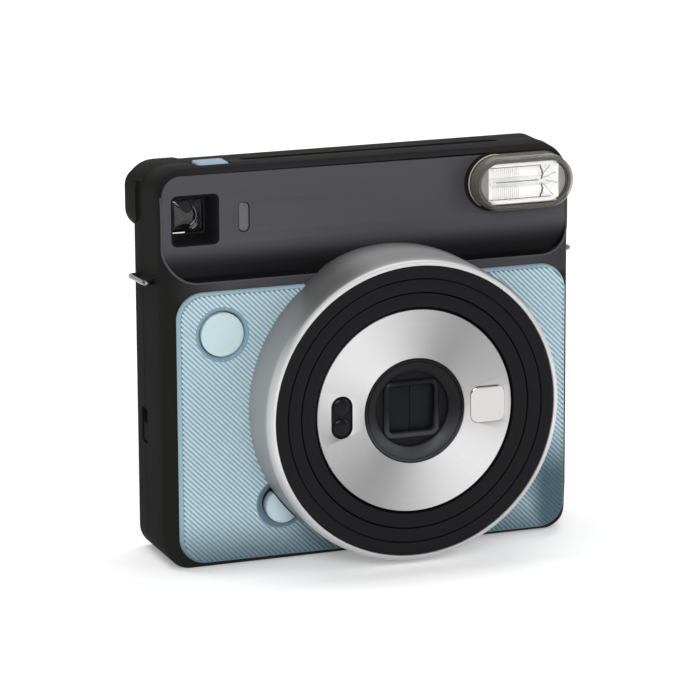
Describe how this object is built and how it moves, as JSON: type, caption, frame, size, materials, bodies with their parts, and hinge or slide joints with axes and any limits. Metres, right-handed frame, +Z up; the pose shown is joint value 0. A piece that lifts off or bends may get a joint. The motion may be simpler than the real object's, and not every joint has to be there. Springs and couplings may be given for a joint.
{
  "type": "instant camera",
  "caption": "Square format instant film camera: black shells, light blue ribbed front, silver ringed telescoping lens, flash, side hinged film door.",
  "frame": {"origin": "bottom centre of the camera's box, on the surface it stands on", "axes": "+Z up, -Y towards the subject (the lens side), +X to the right seen from the front"},
  "size_m": [0.1352, 0.0582, 0.1194],
  "materials": {
    "shell_black": "fine matte texture",
    "panel_graphite": "satin metallic paint",
    "grip_blue": "fine diagonal ribs, satin",
    "button_blue": "satin",
    "ring_silver": "satin turned",
    "face_silver": "radially brushed",
    "lens_black": "satin black",
    "mirror": "polished",
    "sensor_glass": "dark gloss",
    "clear_lens": "polished",
    "flash_clear": "clear with fine lines",
    "lamp_smoke": "smoked",
    "steel": "brushed",
    "motor": "plain",
    "brass": "plain",
    "gear_white": "plain",
    "board": "solder mask",
    "cell": "printed wrap, unmarked",
    "capacitor": "plastic sleeve",
    "pack_black": "plain"
  },
  "bodies": {
    "camera_body": {"front_cover": "shell_black", "film_slot_trim": "shell_black", "rear_cover": "shell_black", "upper_front_panel": "panel_graphite", "front_grip_panel": "grip_blue", "lens_ring": "ring_silver", "lens_housing": "lens_black", "viewfinder_tunnel": "lens_black", "light_baffle": "lens_black", "film_chassis": "lens_black", "flash_reflector": "mirror", "viewfinder_front_lens": "clear_lens", "viewfinder_eyepiece": "clear_lens", "flash_tube": "clear_lens", "flash_window": "flash_clear", "timer_lamp_window": "lamp_smoke", "mode_light_strip": "lamp_smoke", "strap_lug_left": "steel", "strap_lug_right": "steel", "door_hinge_pin": "steel", "tripod_bush": "steel", "cover_screw_left": "steel", "cover_screw_right": "steel", "roller_bracket": "steel", "drive_motor": "motor", "main_circuit_board": "board", "battery_lower": "cell", "battery_upper": "cell", "flash_capacitor": "capacitor", "film_pack": "pack_black"},
    "mid_barrel": {"mid_barrel": "lens_black"},
    "inner_barrel": {"inner_barrel": "lens_black", "face_plate": "face_silver", "selfie_mirror": "mirror", "sensor_window": "sensor_glass", "lens_bezel": "lens_black", "barrier_frame": "lens_black", "lens_cell": "lens_black", "front_lens_element": "clear_lens", "rear_lens_element": "clear_lens", "shutter_plate": "steel"},
    "barrier_leaf_left": {"barrier_leaf_left": "lens_black"},
    "barrier_leaf_right": {"barrier_leaf_right": "lens_black"},
    "shutter_blade_left": {"shutter_blade_left": "steel"},
    "shutter_blade_right": {"shutter_blade_right": "steel"},
    "shutter_button": {"shutter_button": "button_blue"},
    "power_button": {"power_button": "button_blue"},
    "top_button": {"top_button": "button_blue"},
    "mode_button": {"mode_button": "shell_black"},
    "flash_button": {"flash_button": "shell_black"},
    "timer_button": {"timer_button": "shell_black"},
    "film_door": {"film_door": "shell_black", "film_window": "lamp_smoke"},
    "door_latch": {"door_latch": "shell_black"},
    "battery_door": {"battery_door": "shell_black"},
    "roller_front": {"roller_front": "steel"},
    "roller_rear": {"roller_rear": "steel"},
    "idler_gear": {"idler_gear": "gear_white"},
    "motor_pinion": {"motor_pinion": "brass"},
    "film_claw": {"film_claw": "steel"}
  },
  "joints": [
    {"name": "barrel_mid_slide", "type": "slide", "parent": "camera_body", "child": "mid_barrel", "axis": [0, -1, 0], "range_m": [0, 0.009]},
    {"name": "barrel_inner_slide", "type": "slide", "parent": "mid_barrel", "child": "inner_barrel", "axis": [0, -1, 0], "range_m": [0, 0.009]},
    {"name": "barrier_left_slide", "type": "slide", "parent": "inner_barrel", "child": "barrier_leaf_left", "axis": [-1, 0, 0], "range_m": [0, 0.0074]},
    {"name": "barrier_right_slide", "type": "slide", "parent": "inner_barrel", "child": "barrier_leaf_right", "axis": [1, 0, 0], "range_m": [0, 0.0074]},
    {"name": "shutter_left_turn", "type": "hinge", "parent": "inner_barrel", "child": "shutter_blade_left", "pos_m": [0.00206, -0.01, 0.02875], "axis": [0, -1, 0], "range_deg": [0, 35], "stiffness_Nm_per_rad": 0.002, "springref_deg": -11.46},
    {"name": "shutter_right_turn", "type": "hinge", "parent": "inner_barrel", "child": "shutter_blade_right", "pos_m": [0.01006, -0.009, 0.02875], "axis": [0, 1, 0], "range_deg": [0, 35]},
    {"name": "shutter_button_press", "type": "slide", "parent": "camera_body", "child": "shutter_button", "axis": [0, 1, 0], "range_m": [0, 0.001], "stiffness_N_per_m": 500, "springref_m": -0.0006},
    {"name": "power_button_press", "type": "slide", "parent": "camera_body", "child": "power_button", "axis": [0, 1, 0], "range_m": [0, 0.001], "stiffness_N_per_m": 500, "springref_m": -0.0006},
    {"name": "top_button_press", "type": "slide", "parent": "camera_body", "child": "top_button", "axis": [0, 0, -1], "range_m": [0, 0.0008], "stiffness_N_per_m": 500, "springref_m": -0.0006},
    {"name": "mode_button_press", "type": "slide", "parent": "camera_body", "child": "mode_button", "axis": [0, -1, 0], "range_m": [0, 0.0007], "stiffness_N_per_m": 500, "springref_m": -0.0006},
    {"name": "flash_button_press", "type": "slide", "parent": "camera_body", "child": "flash_button", "axis": [0, -1, 0], "range_m": [0, 0.0007], "stiffness_N_per_m": 500, "springref_m": -0.0006},
    {"name": "timer_button_press", "type": "slide", "parent": "camera_body", "child": "timer_button", "axis": [0, -1, 0], "range_m": [0, 0.0007], "stiffness_N_per_m": 500, "springref_m": -0.0006},
    {"name": "film_door_swing", "type": "hinge", "parent": "camera_body", "child": "film_door", "pos_m": [0.0595, 0.0196, 0.049], "axis": [0, 0, -1], "range_deg": [0, 95]},
    {"name": "door_latch_slide", "type": "slide", "parent": "camera_body", "child": "door_latch", "axis": [0, 0, 1], "range_m": [0, 0.004], "stiffness_N_per_m": 200, "springref_m": -0.001},
    {"name": "battery_door_swing", "type": "hinge", "parent": "camera_body", "child": "battery_door", "pos_m": [-0.046, 0.0101, 0.0013], "axis": [1, 0, 0], "range_deg": [0, 90]},
    {"name": "roller_front_spin", "type": "hinge", "parent": "camera_body", "child": "roller_front", "pos_m": [0.05, 0.0047, 0.102], "axis": [1, 0, 0], "continuous": true},
    {"name": "roller_rear_spin", "type": "hinge", "parent": "camera_body", "child": "roller_rear", "pos_m": [0.05, 0.0131, 0.102], "axis": [1, 0, 0], "continuous": true},
    {"name": "idler_gear_spin", "type": "hinge", "parent": "camera_body", "child": "idler_gear", "pos_m": [0.05, 0.0064, 0.09316], "axis": [1, 0, 0], "continuous": true},
    {"name": "motor_pinion_spin", "type": "hinge", "parent": "camera_body", "child": "motor_pinion", "pos_m": [0.05, 0.0064, 0.0853], "axis": [1, 0, 0], "continuous": true},
    {"name": "film_claw_slide", "type": "slide", "parent": "camera_body", "child": "film_claw", "axis": [0, 0, 1], "range_m": [0, 0.004], "stiffness_N_per_m": 100, "springref_m": -0.0005}
  ],
  "couplings": [
    {"joint": "barrel_inner_slide", "follows": "barrel_mid_slide", "ratio": 1},
    {"joint": "barrier_left_slide", "follows": "barrel_mid_slide", "ratio": 0.8222},
    {"joint": "barrier_right_slide", "follows": "barrel_mid_slide", "ratio": 0.8222},
    {"joint": "shutter_right_turn", "follows": "shutter_left_turn", "ratio": 1},
    {"joint": "roller_rear_spin", "follows": "roller_front_spin", "ratio": -1},
    {"joint": "idler_gear_spin", "follows": "roller_front_spin", "ratio": -0.875},
    {"joint": "motor_pinion_spin", "follows": "roller_front_spin", "ratio": 1.4}
  ]
}
